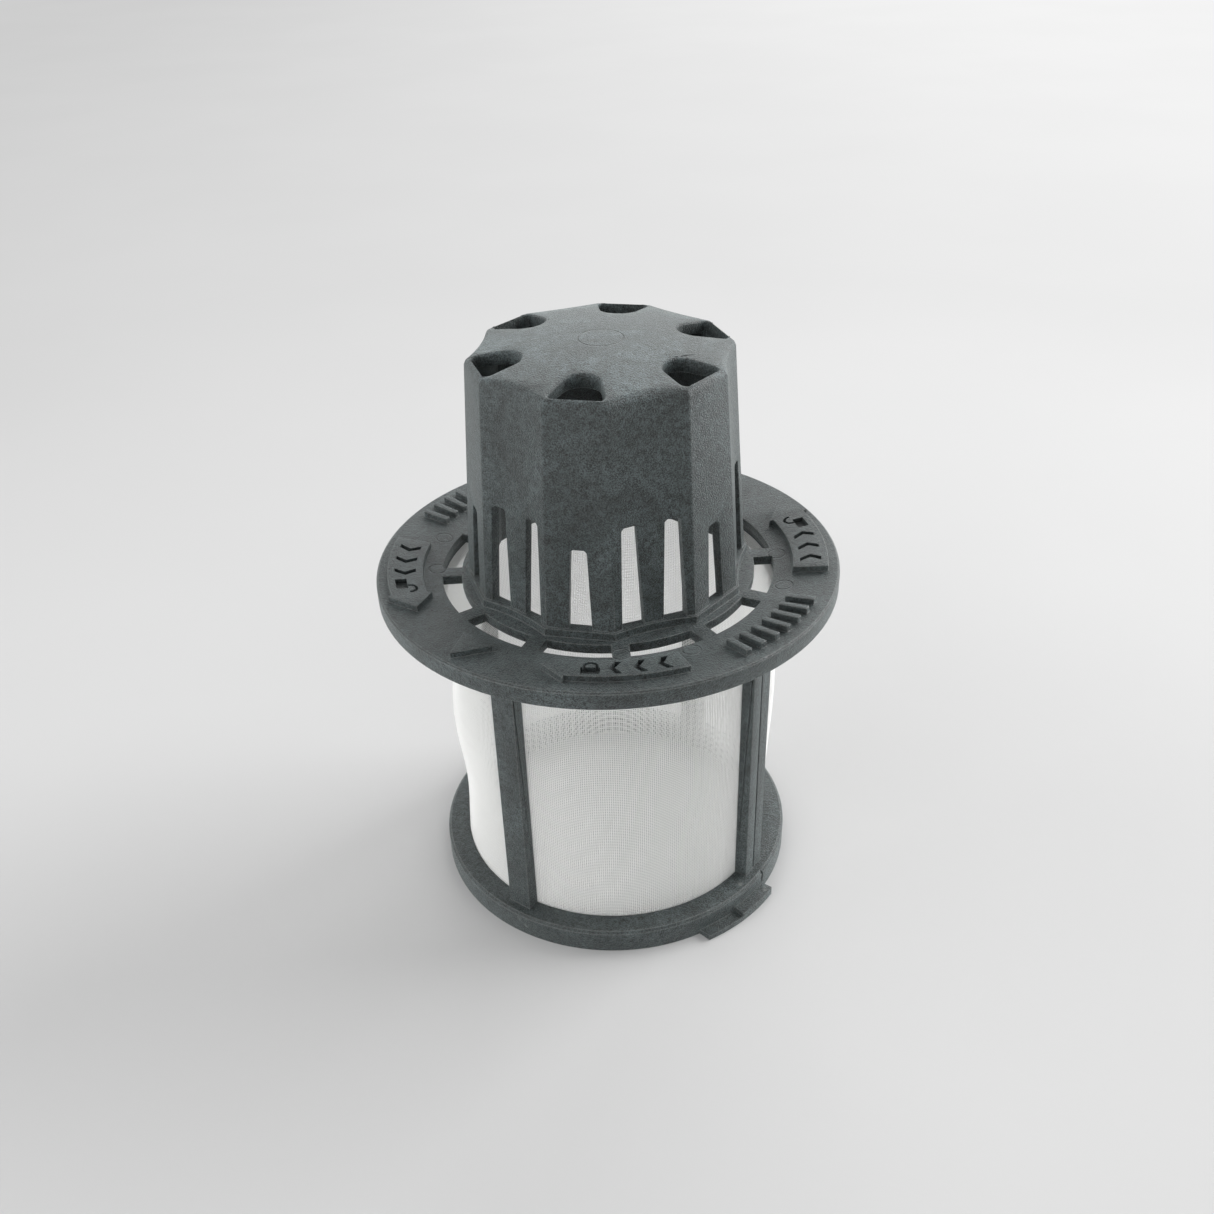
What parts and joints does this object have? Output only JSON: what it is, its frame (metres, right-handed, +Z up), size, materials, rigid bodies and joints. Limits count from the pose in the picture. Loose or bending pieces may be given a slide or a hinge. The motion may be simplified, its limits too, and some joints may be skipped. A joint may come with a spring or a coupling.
{
  "type": "dishwasher filter",
  "caption": "Cylindrical fine filter for a dishwasher sump: slotted grip on a dished flange, over an open cage lined with woven mesh.",
  "frame": {"origin": "centre of the foot ring's underside, on the filter's axis", "axes": "+Z up along the filter's axis, from the foot ring to the grip; -Y towards the middle of the flange spoke in front, with +X to its right"},
  "size_m": [0.12, 0.12, 0.1538],
  "materials": {
    "filled_plastic": "dark blue-grey glass-filled plastic, matt, with a fine grain and pale flow marks",
    "woven_mesh": "fine white square weave of plastic thread, see-through"
  },
  "bodies": {
    "root": {"strainer_top": "filled_plastic", "cage": "filled_plastic", "mesh_sleeve": "woven_mesh"}
  },
  "joints": []
}
